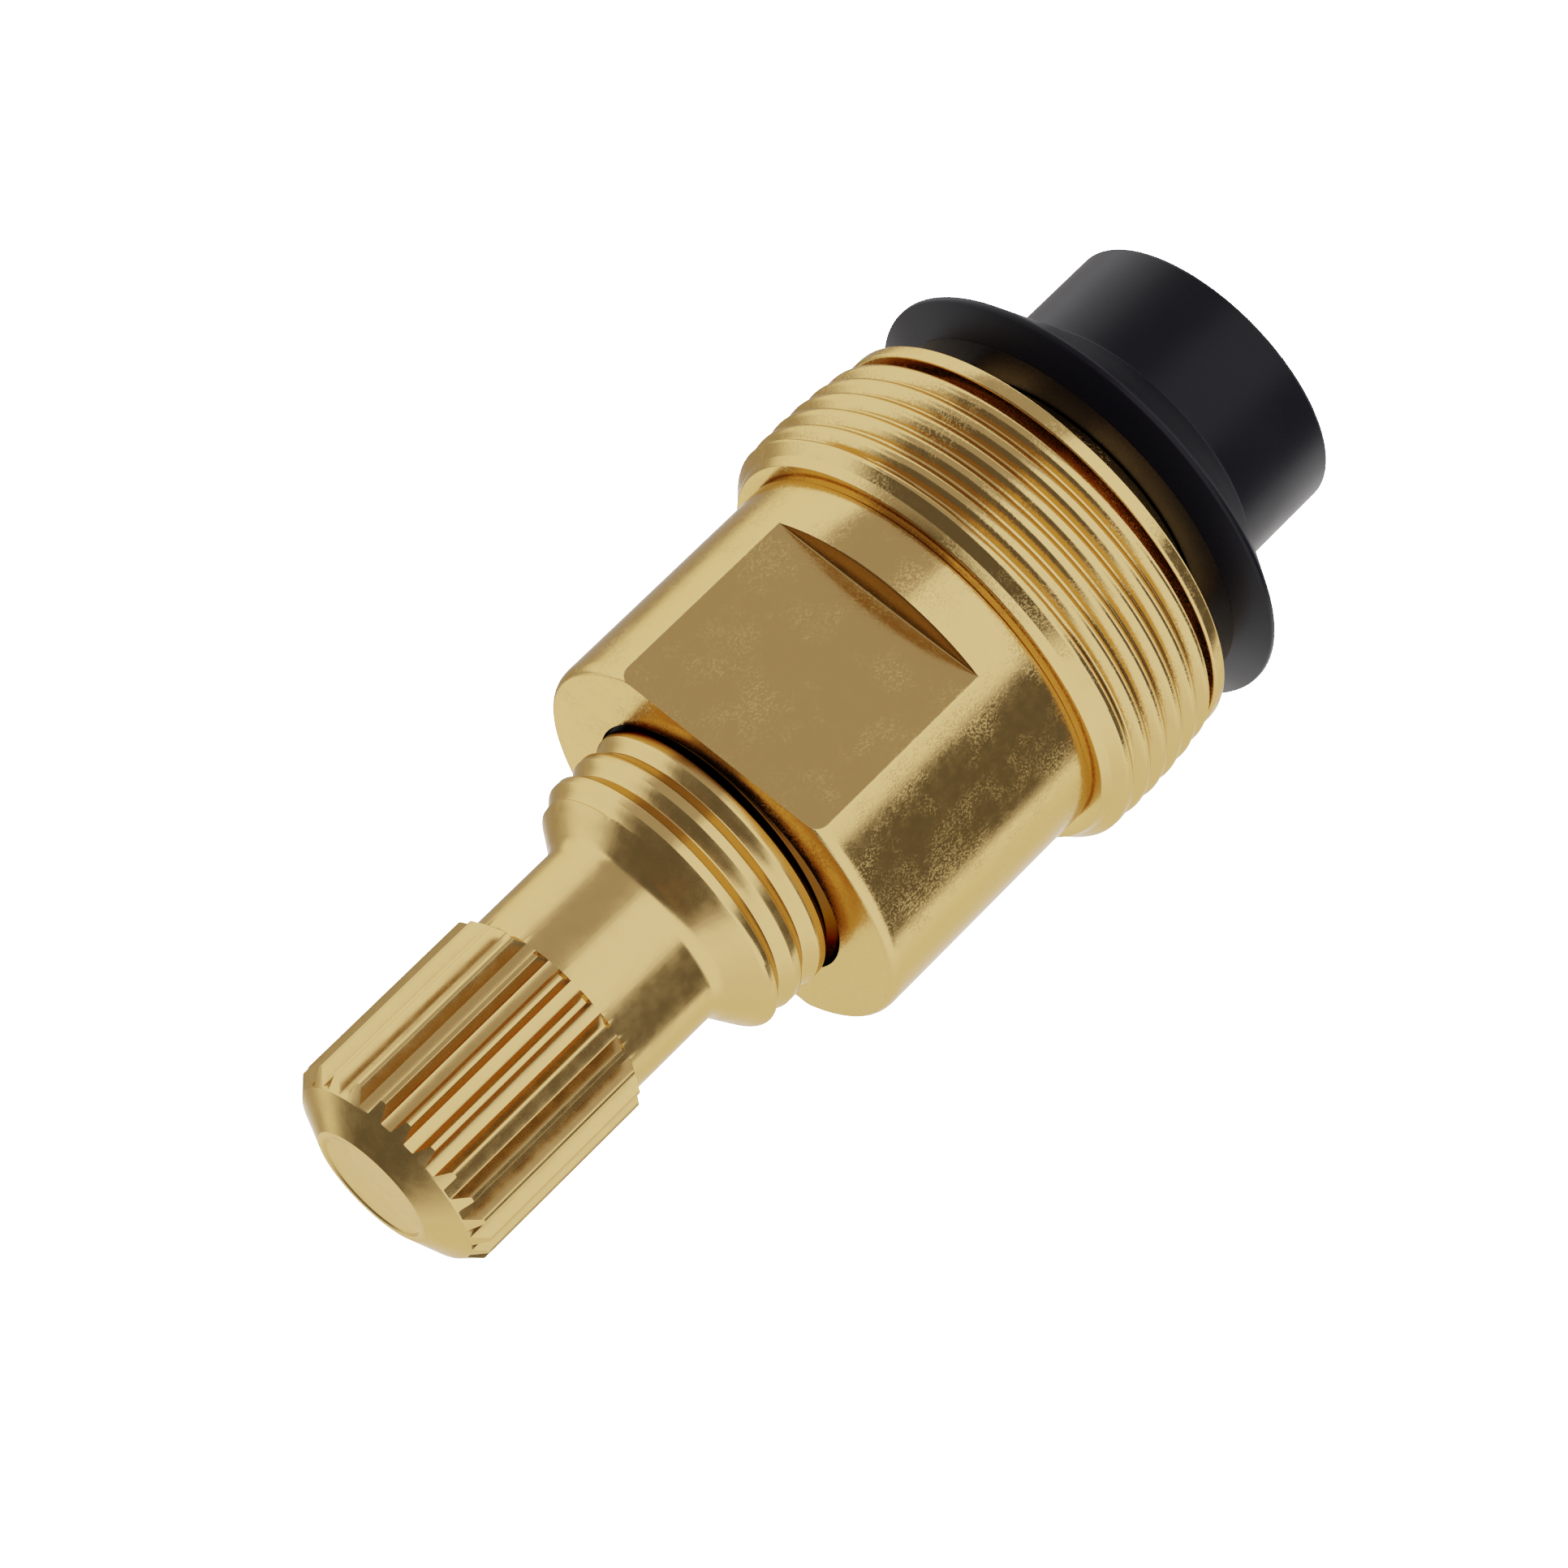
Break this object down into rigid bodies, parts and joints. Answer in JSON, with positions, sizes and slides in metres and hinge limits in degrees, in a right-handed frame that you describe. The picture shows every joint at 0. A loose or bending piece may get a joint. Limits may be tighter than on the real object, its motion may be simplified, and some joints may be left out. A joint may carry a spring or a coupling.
{
  "type": "faucet stem",
  "caption": "Screw-down faucet stem: splined spindle with a left-hand thread in a threaded bonnet with wrench flats, slip ring, swivel foot and top-hat rubber diaphragm.",
  "frame": {"origin": "centre of the diaphragm crown's closed end, which the stem stands on", "axes": "+Z along the spindle from the crown to the spline end; the pictured wrench flat faces -Y"},
  "size_m": [0.0222, 0.0222, 0.052],
  "materials": {
    "brass": "satin turned brass",
    "rubber": "moulded black rubber",
    "spring_steel": "plain spring steel"
  },
  "bodies": {
    "bonnet_body": {"bonnet": "brass"},
    "ring_body": {"friction_ring": "brass"},
    "foot_body": {"swivel_foot": "brass", "retaining_ring": "spring_steel", "diaphragm": "rubber"},
    "spindle_body": {"spindle": "brass"}
  },
  "joints": [
    {"name": "foot_travel", "type": "slide", "parent": "bonnet_body", "child": "foot_body", "axis": [0, 0, 1], "range_m": [-0.0037, 0.001]},
    {"name": "spindle_turn", "type": "hinge", "parent": "foot_body", "child": "spindle_body", "pos_m": [0, 0, 0.027], "axis": [0, 0, 1], "range_deg": [-247, 914]},
    {"name": "ring_turn", "type": "hinge", "parent": "bonnet_body", "child": "ring_body", "pos_m": [0, 0, 0.01153], "axis": [0, 0, 1], "continuous": true}
  ],
  "couplings": [
    {"joint": "spindle_turn", "follows": "foot_travel", "rad_per_m": -4309.5}
  ]
}
